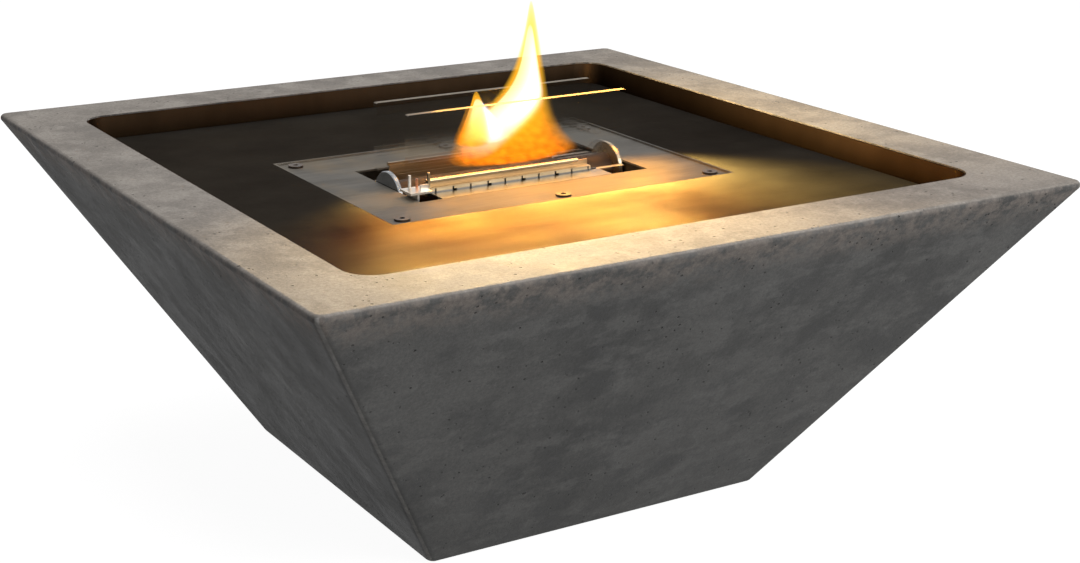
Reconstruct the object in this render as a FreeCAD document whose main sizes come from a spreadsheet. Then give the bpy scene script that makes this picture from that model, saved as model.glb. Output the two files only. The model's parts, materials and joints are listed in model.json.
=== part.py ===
import FreeCAD, Part
import math
import os
import re

import Sketcher
from FreeCAD import Rotation, Vector

# Tabletop gas fire pit: a square tapered bowl of cast stone with a dark fire panel sunk into
# its rim, and a stainless tray in the panel that carries a round bar burner between two panes.
# Origin: centre of the footprint at table level. +Z up, +X along the long side of the burner,
# -Y towards the front face. All sizes are in millimetres.

SIZES = {
    # bowl
    "bowl_width": 603.0,
    "bowl_height": 253.0,
    "base_width": 283.0,
    "foot_standout": 2.0,
    "bowl_wall": 14.0,
    "bowl_floor": 14.0,
    "corner_radius": 7.0,
    "arris_radius": 3.0,
    "lip_width": 53.5,
    "opening_radius": 21.0,
    "ledge_width": 12.0,
    "ledge_thickness": 14.0,
    # access opening, its cover and the feet
    "cover_margin": 3.3,
    "cover_ledge": 10.0,
    "cover_thickness": 3.0,
    "cover_recess": 4.0,
    "cover_gap": 0.5,
    "cover_screw_head": 0.8,
    "vent_radius": 5.0,
    "vent_pitch": 40.0,
    "foot_radius": 14.0,
    "foot_thickness": 5.0,
    "foot_inset": 19.0,
    "foot_gap": 0.2,
    # liner and fire panel
    "panel_depth": 18.5,
    "panel_thickness": 3.0,
    "panel_shadow_gap": 4.0,
    "liner_thickness": 1.5,
    "liner_gap": 0.3,
    "liner_top_drop": 1.0,
    "liner_flange": 16.0,
    # tray, its frame and its screws
    "tray_length": 291.0,
    "tray_width": 197.5,
    "tray_sheet": 1.5,
    "tray_gap": 0.3,
    "slot_length": 198.0,
    "slot_width": 103.0,
    "frame_overlap": 12.0,
    "frame_gap": 1.5,
    "frame_thickness": 2.0,
    "screw_inset_x": 13.5,
    "screw_inset_y": 12.0,
    "screw_radius": 3.0,
    "screw_head_radius": 5.8,
    "screw_head_height": 1.6,
    "screw_socket_radius": 2.2,
    "screw_socket_depth": 1.1,
    "screw_hole_gap": 0.3,
    "nut_radius": 5.6,
    "nut_height": 5.0,
    "nut_gap": 0.02,
    # trough and burner
    "trough_margin": 2.0,
    "trough_sheet": 1.2,
    "trough_depth": 50.0,
    "trough_flange": 8.0,
    "burner_drop": 10.0,
    "burner_radius": 13.0,
    "burner_wall": 1.5,
    "cap_radius": 21.0,
    "cap_thickness": 3.0,
    "cap_edge": 0.6,
    "cap_gap_left": 0.5,
    "cap_gap_right": 1.0,
    "spigot_length": 6.0,
    "spigot_gap": 0.1,
    "port_radius": 0.9,
    "port_pitch": 6.0,
    "port_row_gap": 7.0,
    "port_first_x": -57.0,
    "port_span": 132.0,
    "saddle_place": 62.0,
    "saddle_thickness": 2.0,
    "saddle_gap": 0.1,
    # mixer, injector and supply pipe
    "mixer_radius": 9.0,
    "mixer_bore": 7.8,
    "mixer_gap": 0.15,
    "mixer_length": 63.5,
    "mixer_neck": 10.0,
    "air_window_width": 6.0,
    "air_window_height": 10.0,
    "air_window_rise": 2.0,
    "injector_radius": 5.0,
    "injector_gap": 0.1,
    "injector_reach": 12.0,
    "injector_hex_radius": 8.0,
    "injector_hex_height": 8.0,
    "injector_tail": 8.0,
    "injector_bore": 1.0,
    "pipe_radius": 4.0,
    "pipe_wall": 1.0,
    "pipe_drop": 38.0,
    "pipe_lead": 34.0,
    "pipe_bend": 20.0,
    # glass panes, their channels, the bars and the comb strip
    "pane_length": 190.0,
    "pane_thickness": 5.0,
    "pane_height": 58.0,
    "pane_place": 24.5,
    "pane_side_gap": 0.25,
    "pane_base_gap": 0.3,
    "pane_corner": 1.5,
    "channel_sheet": 1.2,
    "channel_seat": 2.0,
    "channel_flange": 2.0,
    "channel_right": 59.0,
    "bar_left": -82.0,
    "bar_right": 49.0,
    "bar_rise": 6.9,
    "bar_height": 2.7,
    "bar_seat": 0.8,
    "bar_depth": 3.0,
    "bar_rounding": 0.9,
    "clip_width": 1.8,
    "clip_standout": 5.5,
    "clip_height": 12.0,
    "comb_left": -80.0,
    "comb_right": 67.0,
    "comb_sheet": 0.8,
    "comb_gap": 0.5,
    "comb_ledge": 5.0,
    "comb_crest": 3.6,
    "comb_leg": 3.5,
    "comb_first_cut": -76.0,
    "comb_cut_pitch": 14.75,
    "comb_cut_width": 1.3,
    "comb_cut_top": 0.4,
    "comb_cuts": 10.0,
    "comb_notch_width": 2.4,
    "comb_notch_height": 1.2,
    # ignition group
    "ignition_overlap": 4.5,
    "ignition_length": 18.0,
    "ignition_width": 17.0,
    "ignition_gap": 1.0,
    "ignition_rise": 5.5,
    "ignition_sheet": 1.5,
    "ignition_post_row": 2.0,
    "electrode_place": 7.0,
    "electrode_radius": 1.1,
    "electrode_height": 9.5,
    "sensor_place": 13.0,
    "sensor_radius": 0.9,
    "sensor_height": 6.2,
    "hood_left": 11.0,
    "hood_front": 5.5,
    "hood_width": 6.5,
    "hood_thickness": 1.5,
    "hood_height": 3.8,
    # control plate and what it carries
    "control_height": 120.0,
    "control_hole_width": 124.0,
    "control_hole_below": 22.0,
    "control_hole_above": 28.0,
    "plate_length": 160.0,
    "plate_width": 84.0,
    "plate_thickness": 2.0,
    "plate_radius": 6.0,
    "plate_screw_inset": 7.0,
    "small_screw_radius": 2.0,
    "small_screw_head_radius": 3.9,
    "small_screw_head_height": 2.2,
    "small_screw_length": 11.0,
    "small_socket_radius": 1.5,
    "small_socket_depth": 1.2,
    "small_screw_gap": 0.2,
    "control_pitch": 48.0,
    "valve_width": 24.0,
    "valve_front": 14.0,
    "valve_back": 50.0,
    "valve_left": 16.0,
    "valve_overrun": 12.0,
    "valve_boss_radius": 8.0,
    "valve_boss_gap": 0.4,
    "spindle_radius": 4.0,
    "running_gap": 0.05,
    "spindle_hole_gap": 0.8,
    "spindle_split": 24.0,
    "split_gap": 0.3,
    "plunger_length": 14.0,
    "push_travel": 3.0,
    "travel_clearance": 1.0,
    "knob_gap": 4.0,
    "knob_radius": 19.0,
    "knob_grip_radius": 16.0,
    "knob_skirt": 4.0,
    "knob_height": 18.0,
    "knob_wall": 3.0,
    "knob_rounding": 1.5,
    "knob_marker_width": 2.4,
    "knob_marker_depth": 1.0,
    "grub_radius": 1.5,
    "grub_inset": 0.5,
    "igniter_barrel_radius": 9.0,
    "igniter_hole_gap": 0.2,
    "igniter_barrel_length": 38.0,
    "igniter_flange_radius": 12.5,
    "igniter_flange_height": 2.2,
    "igniter_nut_radius": 13.0,
    "igniter_nut_height": 4.0,
    "button_radius": 7.0,
    "button_gap": 0.3,
    "button_seat": 3.0,
    "button_standout": 6.0,
    "button_travel": 4.0,
    "button_rounding": 1.2,
    "inlet_shank_radius": 8.5,
    "inlet_hole_gap": 0.5,
    "inlet_hex_radius": 11.0,
    "inlet_hex_height": 6.0,
    "inlet_hex_gap": 0.3,
    "inlet_thread_radius": 8.0,
    "inlet_thread_length": 15.0,
    "inlet_bore": 3.0,
}

# Places that several pieces share, written with the names above
RIM = "(foot_standout + bowl_height)"
PANEL_TOP = f"({RIM} - panel_depth)"
LEDGE = f"({PANEL_TOP} - panel_thickness - liner_thickness)"
OPENING = "(bowl_width / 2 - lip_width)"
LINER_OUTSIDE = f"({OPENING} - liner_gap)"
TRAY_BOTTOM = f"({PANEL_TOP} - panel_thickness)"
TRAY_TOP = f"({TRAY_BOTTOM} + tray_sheet)"
FRAME_BOTTOM = f"({TRAY_BOTTOM} - frame_thickness)"
TROUGH_FLOOR = f"({TRAY_BOTTOM} - trough_depth + trough_sheet)"
BURNER_AXIS = f"({TRAY_TOP} - burner_drop)"
TUBE_LEFT = "(-slot_length / 2 + cap_gap_left + cap_thickness)"
TUBE_RIGHT = "(slot_length / 2 - cap_gap_right - cap_thickness)"
MIXER_TOP = f"({BURNER_AXIS} - burner_radius + burner_wall / 2)"
MIXER_BOTTOM = f"({MIXER_TOP} - mixer_length)"
INJECTOR_BOTTOM = f"({MIXER_BOTTOM} - injector_hex_height - injector_tail)"
CHANNEL_INSIDE = "(pane_place - pane_thickness / 2 - pane_side_gap)"
CHANNEL_OUTSIDE = "(pane_place + pane_thickness / 2 + pane_side_gap)"
CHANNEL_FLOOR = f"({TRAY_TOP} - channel_seat - pane_base_gap)"
CHANNEL_FACE = f"({CHANNEL_OUTSIDE} + channel_sheet)"
CHANNEL_TOP = f"({TRAY_TOP} + bar_rise + bar_seat)"
BAR_TOP = f"({TRAY_TOP} + bar_rise + bar_height)"
TAPER = "((bowl_width - base_width) / 2 / bowl_height)"
BOWL_SLOPE = "atan((bowl_width - base_width) / 2 / bowl_height)"
CONTROL_FACE = f"(base_width / 2 + {TAPER} * (control_height - foot_standout))"
KNOB_BOTTOM = "(plate_thickness + knob_gap)"
FOOT_PLACE = "(base_width / 2 - foot_inset)"
REBATE_HALF = f"({FOOT_PLACE} - foot_radius - foot_gap - cover_margin)"
ACCESS_HALF = f"({REBATE_HALF} - cover_ledge)"
COVER_SCREW_PLACE = f"({REBATE_HALF} - cover_ledge / 2)"
COVER_BOTTOM = "(foot_standout + cover_recess - cover_thickness)"
SCREW_X = "(tray_length / 2 - screw_inset_x)"
SCREW_Y = "(tray_width / 2 - screw_inset_y)"
PLATE_SCREW_X = "(plate_length / 2 - plate_screw_inset)"
PLATE_SCREW_Y = "(plate_width / 2 - plate_screw_inset)"

doc = FreeCAD.newDocument("tabletop_gas_fire_pit")
sheet = doc.addObject("Spreadsheet::Sheet", "sizes")
for row, (name, size) in enumerate(SIZES.items(), start=1):
    sheet.set(f"A{row}", name)
    sheet.set(f"B{row}", str(size))
    sheet.setAlias(f"B{row}", name)
doc.recompute()


def bound(text):
    """An expression whose size names point at the sheet's cells."""
    return re.sub(r"[a-z_]\w*", lambda w: f"sizes.{w[0]}" if w[0] in SIZES else w[0], text)


def number(text):
    """The present value of an expression, in millimetres or degrees."""
    found = sheet.evalExpression(bound(text))
    return float(found.Value if hasattr(found, "Value") else found)


def box(left, right, front, back):
    """A rectangle's corners, as expressions."""
    return [(left, front), (right, front), (right, back), (left, back)]


def centred(width, depth):
    """A rectangle about the sketch's origin, from its half sizes."""
    return box(f"-({width})", width, f"-({depth})", depth)


def hexagon(x, y, radius):
    """A hexagon's corners, with one corner on each side along X."""
    turns = range(0, 360, 60)
    return [(f"{x} + {radius} * cos({turn})", f"{y} + {radius} * sin({turn})") for turn in turns]


def rounded(half, radius):
    """A square about the sketch's origin with round corners, from its half size."""
    return {"half": half, "radius": radius}


def circle(x, y, radius):
    """A circle's centre and radius, as expressions."""
    return (x, y, radius)


def tie(sketch, kind, geometry, point, text):
    """Hold one coordinate of a sketch point at an expression's value."""
    index = sketch.addConstraint(Sketcher.Constraint(kind, -1, 1, geometry, point, number(text)))
    sketch.setExpression(f"Constraints[{index}]", bound(text))


def draw_outline(sketch, corners):
    """Draw a closed outline of straight lines with every corner held by the sheet."""
    spots = [Vector(number(x), number(y), 0) for x, y in corners]
    first = sketch.GeometryCount
    for place, spot in enumerate(spots):
        sketch.addGeometry(Part.LineSegment(spot, spots[(place + 1) % len(spots)]))
    for place, (x, y) in enumerate(corners):
        after = first + (place + 1) % len(corners)
        sketch.addConstraint(Sketcher.Constraint("Coincident", first + place, 2, after, 1))
        tie(sketch, "DistanceX", first + place, 1, x)
        tie(sketch, "DistanceY", first + place, 1, y)


def draw_rounded(sketch, half, radius):
    """Draw a square of four lines and four quarter arcs that follow the sheet."""
    straight, turn = f"({half} - ({radius}))", number(radius)
    first = sketch.GeometryCount
    for quarter in range(4):
        # each side runs from one turn's end to the next one's start, all seen turned by a quarter
        ends = [(f"-{straight}", f"-({half})"), (straight, f"-({half})")]
        for _ in range(quarter):
            ends = [(f"-({y})", x) for x, y in ends]
        spots = [Vector(number(x), number(y), 0) for x, y in ends]
        line = sketch.addGeometry(Part.LineSegment(*spots))
        for point, (x, y) in enumerate(ends, start=1):
            tie(sketch, "DistanceX", line, point, x)
            tie(sketch, "DistanceY", line, point, y)
        along = (spots[1] - spots[0]).normalize()
        centre = spots[1] + Vector(-along.y, along.x, 0) * turn
        begin = math.radians(90 * quarter - 90)
        bend = Part.ArcOfCircle(Part.Circle(centre, Vector(0, 0, 1), turn), begin, begin + math.pi / 2)
        sketch.addGeometry(bend)
    for quarter in range(4):
        line, bend = first + 2 * quarter, first + 2 * quarter + 1
        following = first + (2 * quarter + 2) % 8
        sketch.addConstraint(Sketcher.Constraint("Coincident", line, 2, bend, 1))
        sketch.addConstraint(Sketcher.Constraint("Coincident", bend, 2, following, 1))
        held = sketch.addConstraint(Sketcher.Constraint("Radius", bend, turn))
        sketch.setExpression(f"Constraints[{held}]", bound(radius))


def draw_circle(sketch, x, y, radius):
    """Draw a circle with its centre and radius held by the sheet."""
    spot = Vector(number(x), number(y), 0)
    index = sketch.addGeometry(Part.Circle(spot, Vector(0, 0, 1), number(radius)))
    tie(sketch, "DistanceX", index, 3, x)
    tie(sketch, "DistanceY", index, 3, y)
    held = sketch.addConstraint(Sketcher.Constraint("Radius", index, number(radius)))
    sketch.setExpression(f"Constraints[{held}]", bound(radius))


class Piece:
    """One physical piece: a body made of sketches and features that follow the sheet."""

    made = []

    def __init__(self, label, x="0", y="0", z="0", tilted=False):
        self.body = doc.addObject("PartDesign::Body", label)
        self.body.Label = label
        self.body.AllowCompound = True
        if tilted:
            self.body.Placement.Rotation = Rotation(Vector(-1, 0, 0), 90 + number(BOWL_SLOPE))
            self.body.setExpression("Placement.Rotation.Angle", bound(f"90 deg + {BOWL_SLOPE}"))
        for axis, text in (("x", x), ("y", y), ("z", z)):
            self.body.setExpression(f"Placement.Base.{axis}", bound(text))
        Piece.made.append(self.body)

    def sketch(self, plane, level, *shapes):
        """A sketch on one of the body's own planes, raised along its normal to a level."""
        sketch = self.body.newObject("Sketcher::SketchObject", "profile")
        support = [f for f in self.body.Origin.OriginFeatures if f.Role == f"{plane}_Plane"][0]
        sketch.AttachmentSupport = [(support, "")]
        sketch.MapMode = "FlatFace"
        sketch.setExpression("AttachmentOffset.Base.z", bound(level))
        for shape in shapes:
            if isinstance(shape, list):
                draw_outline(sketch, shape)
            elif isinstance(shape, dict):
                draw_rounded(sketch, **shape)
            else:
                draw_circle(sketch, *shape)
        return sketch

    def feature(self, kind, sketch, length, backwards=False):
        """A pad or pocket of a given length along the sketch's normal, or against it."""
        feature = self.body.newObject(f"PartDesign::{kind}", kind.lower())
        feature.Profile = sketch
        feature.Type = 0
        feature.setExpression("Length", bound(length))
        feature.Reversed = backwards if kind == "Pad" else not backwards
        sketch.Visibility = False
        return feature

    def pad(self, plane, level, length, *shapes):
        """Add the shapes, raised along the plane's normal from a level."""
        return self.feature("Pad", self.sketch(plane, level, *shapes), length)

    def pocket(self, plane, level, length, *shapes, backwards=False):
        """Cut the shapes out, along the plane's normal from a level."""
        return self.feature("Pocket", self.sketch(plane, level, *shapes), length, backwards)

    def loft(self, kind, low, low_level, high, high_level):
        """Add or cut a straight-sided body between two outlines on level planes."""
        bottom = self.sketch("XY", low_level, low)
        top = self.sketch("XY", high_level, high)
        feature = self.body.newObject(f"PartDesign::{kind}Loft", f"{kind.lower()}_loft")
        feature.Profile = bottom
        feature.Sections = [top]
        feature.Ruled = True
        return feature

    def turn(self, plane, axis, corners, kind="Revolution"):
        """Add or cut the outline turned a full circle about one of its sketch's axes."""
        sketch = self.sketch(plane, "0", corners)
        feature = self.body.newObject(f"PartDesign::{kind}", kind.lower())
        feature.Profile = sketch
        feature.ReferenceAxis = (sketch, [axis])
        feature.Angle = 360
        return feature

    def repeat(self, feature, span, count):
        """Repeat a cut along the sketch's X axis over a span."""
        pattern = self.body.newObject("PartDesign::LinearPattern", "pattern")
        pattern.Originals = [feature]
        pattern.Direction = (feature.Profile[0], ["H_Axis"])
        pattern.setExpression("Length", bound(span))
        pattern.setExpression("Occurrences", bound(count))
        self.body.Tip = pattern
        return pattern

    def taper_sides(self, block, low, high, angle):
        """Lean the four sides of a block inwards towards its bottom, about its top face."""
        doc.recompute()
        faces = list(enumerate(block.Shape.Faces, start=1))
        middle, top = (number(low) + number(high)) / 2, number(high)
        sides = [f"Face{n}" for n, face in faces if abs(face.CenterOfMass.z - middle) < 0.001]
        lid = [f"Face{n}" for n, face in faces if abs(face.CenterOfMass.z - top) < 0.001]
        draft = self.body.newObject("PartDesign::Draft", "draft")
        draft.Base = (block, sides)
        draft.NeutralPlane = (block, lid)
        draft.setExpression("Angle", bound(angle))
        draft.Reversed = True
        self.body.Tip = draft
        return draft

    def round_edges(self, radius, chosen):
        """Round every edge of the piece so far that the given test picks."""
        doc.recompute()
        tip = self.body.Tip
        edges = tip.Shape.Edges
        names = [f"Edge{n}" for n, edge in enumerate(edges, start=1) if chosen(edge)]
        feature = self.body.newObject("PartDesign::Fillet", "rounding")
        feature.Base = (tip, names)
        feature.setExpression("Radius", bound(radius))
        self.body.Tip = feature
        return feature


def upright(edge):
    """Whether an edge is straight and vertical in its body."""
    ends = [v.Point for v in edge.Vertexes]
    return len(ends) == 2 and abs(ends[0].x - ends[1].x) + abs(ends[0].y - ends[1].y) < 0.001


def level_at(edge, height):
    """Whether both ends of an edge lie at one height in its body."""
    return all(abs(v.Z - height) < 0.001 for v in edge.Vertexes)


def along_x(edge):
    """Whether an edge runs along X in its body."""
    ends = [v.Point for v in edge.Vertexes]
    return abs(ends[0].y - ends[1].y) + abs(ends[0].z - ends[1].z) < 0.001


def lies_at_y(edge, place):
    """Whether an edge starts at a given Y in its body."""
    return abs(edge.Vertexes[0].Y - place) < 0.001


def corner_places(x, y):
    """The four places (+-x, +-y), as expressions."""
    return [(f"{a}{x}", f"{b}{y}") for a in ("-", "") for b in ("-", "")]


def make_bowl():
    """Hollow tapered bowl with a lip, a stepped opening and its access and control openings."""
    bowl = Piece("bowl")
    half_top = "bowl_width / 2"
    block = bowl.pad("XY", "foot_standout", "bowl_height", centred(half_top, half_top))
    bowl.taper_sides(block, "foot_standout", RIM, BOWL_SLOPE)
    rim, base = number(RIM), number("foot_standout")
    bowl.round_edges("corner_radius", lambda edge: not level_at(edge, edge.Vertexes[0].Z))
    bowl.round_edges("arris_radius", lambda edge: level_at(edge, rim) or level_at(edge, base))
    low, high = "(foot_standout + bowl_floor)", f"({LEDGE} - ledge_thickness)"
    inside = [f"base_width / 2 + {TAPER} * ({z} - foot_standout) - bowl_wall" for z in (low, high)]
    bowl.loft("Subtractive", centred(inside[0], inside[0]), low, centred(inside[1], inside[1]), high)
    bowl.pocket("XY", LEDGE, f"{RIM} - {LEDGE}", rounded(OPENING, "opening_radius"))
    through = rounded(f"{OPENING} - ledge_width", "opening_radius - ledge_width")
    bowl.pocket("XY", f"{LEDGE} - ledge_thickness", "ledge_thickness", through)
    bowl.pocket("XY", "foot_standout", "bowl_floor", centred(ACCESS_HALF, ACCESS_HALF))
    bowl.pocket("XY", "foot_standout", "cover_recess", centred(REBATE_HALF, REBATE_HALF))
    feet = [circle(x, y, "foot_radius + foot_gap") for x, y in corner_places(FOOT_PLACE, FOOT_PLACE)]
    bowl.pocket("XY", "foot_standout", "foot_thickness - foot_standout", *feet)
    hole = "small_screw_radius"
    cover_holes = [circle(x, y, hole) for x, y in corner_places(COVER_SCREW_PLACE, COVER_SCREW_PLACE)]
    bowl.pocket("XY", COVER_BOTTOM, "small_screw_length", *cover_holes)
    half = "control_hole_width / 2"
    sill, head = "control_height - control_hole_below", "control_height + control_hole_above"
    bowl.pocket("XZ", "0", half_top, box(f"-{half}", half, sill, head), backwards=True)
    plate_holes = [circle(x, y, hole) for x, y in corner_places(PLATE_SCREW_X, PLATE_SCREW_Y)]
    drilled = bowl.sketch("XY", "0", *plate_holes)
    leaning = Rotation(Vector(-1, 0, 0), 90 + number(BOWL_SLOPE))
    drilled.AttachmentOffset = FreeCAD.Placement(Vector(), leaning)
    drilled.setExpression("AttachmentOffset.Rotation.Angle", bound(f"90 deg + {BOWL_SLOPE}"))
    drilled.setExpression("AttachmentOffset.Base.y", bound(CONTROL_FACE))
    drilled.setExpression("AttachmentOffset.Base.z", bound("control_height"))
    bowl.feature("Pocket", drilled, "small_screw_length", backwards=True)


def make_base():
    """Base cover with vents, its screws, and the four rubber feet."""
    cover = Piece("base_cover")
    half = f"{REBATE_HALF} - cover_gap"
    cover.pad("XY", COVER_BOTTOM, "cover_thickness", centred(half, half))
    places = corner_places(COVER_SCREW_PLACE, COVER_SCREW_PLACE)
    holes = [circle(x, y, "small_screw_radius + small_screw_gap") for x, y in places]
    rows = [f"vent_pitch * ({step})" for step in (-1, 0, 1)]
    vents = [circle(x, y, "vent_radius") for x in rows for y in rows]
    cover.pocket("XY", COVER_BOTTOM, "cover_thickness", *holes, *vents)
    screws = Piece("cover_screws")
    heads = [circle(x, y, "small_screw_head_radius") for x, y in places]
    screws.pad("XY", f"{COVER_BOTTOM} - cover_screw_head", "cover_screw_head", *heads)
    shanks = [circle(x, y, "small_screw_radius") for x, y in places]
    screws.pad("XY", COVER_BOTTOM, "small_screw_length", *shanks)
    for corner, (x, y) in enumerate(corner_places(FOOT_PLACE, FOOT_PLACE), start=1):
        foot = Piece(f"foot_{corner}")
        foot.pad("XY", "0", "foot_thickness", circle(x, y, "foot_radius"))


def make_liner_and_panel():
    """Upright liner with an inward flange, and the flat fire panel that lies on the flange."""
    liner = Piece("liner_frame")
    outer = rounded(LINER_OUTSIDE, "opening_radius - liner_gap")
    liner.pad("XY", LEDGE, f"{RIM} - liner_top_drop - {LEDGE}", outer)
    inside, bend = f"({LINER_OUTSIDE} - liner_thickness)", "opening_radius - liner_gap - liner_thickness"
    liner.pocket("XY", f"{LEDGE} + liner_thickness", "bowl_height", rounded(inside, bend))
    flange = rounded(f"{LINER_OUTSIDE} - liner_flange", "opening_radius - liner_gap - liner_flange")
    liner.pocket("XY", LEDGE, "liner_thickness", flange)
    panel = Piece("fire_panel")
    outline = rounded(f"{inside} - panel_shadow_gap", f"{bend} - panel_shadow_gap")
    panel.pad("XY", TRAY_BOTTOM, "panel_thickness", outline)
    long, wide = "tray_length / 2 + tray_gap", "tray_width / 2 + tray_gap"
    panel.pocket("XY", TRAY_BOTTOM, "panel_thickness", centred(long, wide))


def tray_screw_places():
    """The four corners of the tray and the middle of its two long sides."""
    return corner_places(SCREW_X, SCREW_Y) + [("0", f"-{SCREW_Y}"), ("0", SCREW_Y)]


def make_tray():
    """Shallow tray with an upturned edge and a slot, its frame, screws and nuts."""
    places = tray_screw_places()
    holes = [circle(x, y, "screw_radius + screw_hole_gap") for x, y in places]
    tray = Piece("burner_tray")
    long, wide = "tray_length / 2", "tray_width / 2"
    tray.pad("XY", TRAY_BOTTOM, "panel_thickness", centred(long, wide))
    tray.pocket("XY", TRAY_TOP, "panel_thickness", centred(f"{long} - tray_sheet", f"{wide} - tray_sheet"))
    tray.pocket("XY", TRAY_BOTTOM, "tray_sheet", centred("slot_length / 2", "slot_width / 2"), *holes)
    frame = Piece("burner_frame")
    outside = centred(f"{long} + frame_overlap", f"{wide} + frame_overlap")
    frame.pad("XY", FRAME_BOTTOM, "frame_thickness", outside)
    around = "trough_margin + trough_sheet + trough_flange + frame_gap"
    inside = centred(f"slot_length / 2 + {around}", f"slot_width / 2 + {around}")
    frame.pocket("XY", FRAME_BOTTOM, "frame_thickness", inside, *holes)
    screws = Piece("tray_screws")
    screws.pad("XY", TRAY_TOP, "screw_head_height", *[circle(x, y, "screw_head_radius") for x, y in places])
    below = f"{FRAME_BOTTOM} - nut_height"
    screws.pad("XY", below, f"{TRAY_TOP} - ({below})", *[circle(x, y, "screw_radius") for x, y in places])
    socket = f"{TRAY_TOP} + screw_head_height - screw_socket_depth"
    sockets = [hexagon(x, y, "screw_socket_radius") for x, y in places]
    screws.pocket("XY", socket, "screw_socket_depth", *sockets)
    nuts = Piece("tray_nuts")
    nuts.pad("XY", below, "nut_height", *[hexagon(x, y, "nut_radius") for x, y in places])
    bores = [circle(x, y, "screw_radius + nut_gap") for x, y in places]
    nuts.pocket("XY", below, "nut_height", *bores)


def make_trough():
    """Open box under the slot with a flange against the tray and a hole for the mixer."""
    trough = Piece("burner_trough")
    inside = ("slot_length / 2 + trough_margin", "slot_width / 2 + trough_margin")
    outside = [f"{half} + trough_sheet" for half in inside]
    edge = [f"{half} + trough_flange" for half in outside]
    bottom = f"({TROUGH_FLOOR} - trough_sheet)"
    trough.pad("XY", bottom, "trough_depth", centred(*outside))
    trough.pad("XY", f"{TRAY_BOTTOM} - trough_sheet", "trough_sheet", centred(*edge))
    trough.pocket("XY", TROUGH_FLOOR, "trough_depth", centred(*inside))
    trough.pocket("XY", bottom, "trough_sheet", circle("0", "0", "mixer_radius + mixer_gap"))


def make_burner():
    """Ported burner tube, its two end caps and the two saddles that carry it."""
    tube = Piece("burner_tube", z=BURNER_AXIS)
    wall = [(TUBE_LEFT, "burner_radius - burner_wall"), (TUBE_RIGHT, "burner_radius - burner_wall")]
    wall += [(TUBE_RIGHT, "burner_radius"), (TUBE_LEFT, "burner_radius")]
    tube.turn("XY", "H_Axis", wall)
    tube.pocket("XY", "0", "burner_radius", circle("0", "0", "mixer_radius + mixer_gap"), backwards=True)
    rows = [circle("port_first_x", f"{a} * port_row_gap / 2", "port_radius") for a in (-1, 1)]
    ports = tube.pocket("XY", "0", "burner_radius", *rows)
    tube.repeat(ports, "port_span", "round(port_span / port_pitch) + 1")
    reach = "(burner_radius - burner_wall - spigot_gap)"
    for side, inner, way in (("left", TUBE_LEFT, 1), ("right", TUBE_RIGHT, -1)):
        cap = Piece(f"burner_cap_{side}", x=inner, z=BURNER_AXIS)
        outer, spigot = f"{-way} * cap_thickness", f"{way} * spigot_length"
        profile = [(outer, "0"), (spigot, "0"), (spigot, reach), ("0", reach), ("0", "cap_radius")]
        profile += [(f"{outer} + {way} * cap_edge", "cap_radius"), (outer, "cap_radius - cap_edge")]
        cap.turn("XY", "H_Axis", profile)
        saddle = Piece(f"saddle_{side}", x=f"{-way} * saddle_place")
        ear_top = f"({CHANNEL_FLOOR} - channel_sheet)"
        plate = box(f"-{CHANNEL_FACE}", CHANNEL_FACE, TROUGH_FLOOR, ear_top)
        saddle.pad("YZ", "-saddle_thickness / 2", "saddle_thickness", plate)
        round_seat = circle("0", BURNER_AXIS, "burner_radius + saddle_gap")
        saddle.pocket("YZ", "-saddle_thickness / 2", "saddle_thickness", round_seat)
        mouth = "(burner_radius + saddle_gap)"
        opening = box(f"-{mouth}", mouth, BURNER_AXIS, ear_top)
        saddle.pocket("YZ", "-saddle_thickness / 2", "saddle_thickness", opening)


def make_mixer_and_injector():
    """Upright mixer tube with air windows, and the gas injector in its neck."""
    mixer = Piece("mixer_tube")
    neck_top = f"{MIXER_BOTTOM} + mixer_neck"
    neck = "(injector_radius + injector_gap)"
    profile = [(neck, MIXER_BOTTOM), ("mixer_radius", MIXER_BOTTOM), ("mixer_radius", MIXER_TOP)]
    profile += [("mixer_bore", MIXER_TOP), ("mixer_bore", neck_top), (neck, neck_top)]
    mixer.turn("XZ", "V_Axis", profile)
    half, low = "air_window_width / 2", f"({neck_top} + air_window_rise)"
    window = box(f"-{half}", half, low, f"{low} + air_window_height")
    mixer.pocket("XZ", "-mixer_radius", "2 * mixer_radius", window)
    mixer.pocket("YZ", "-mixer_radius", "2 * mixer_radius", window)
    injector = Piece("gas_injector")
    tail = f"({MIXER_BOTTOM} - injector_hex_height)"
    top = f"({MIXER_BOTTOM} + injector_reach)"
    injector.pad("XY", INJECTOR_BOTTOM, f"{top} - {INJECTOR_BOTTOM}", circle("0", "0", "injector_radius"))
    injector.pad("XY", tail, "injector_hex_height", hexagon("0", "0", "injector_hex_radius"))
    injector.pocket("XY", INJECTOR_BOTTOM, f"{top} - {INJECTOR_BOTTOM}", circle("0", "0", "injector_bore"))


def arc_between(start, corner, end, radius):
    """The tangent arc that turns from one straight run into the next at their corner."""
    into, out = (corner - start).normalize(), (end - corner).normalize()
    half_turn = into.getAngle(out) / 2
    begin = corner - into * radius * math.tan(half_turn)
    finish = corner + out * radius * math.tan(half_turn)
    inward = (out - into).normalize()
    centre = corner + inward * (radius / math.cos(half_turn))
    return begin, centre - inward * radius, finish


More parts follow.
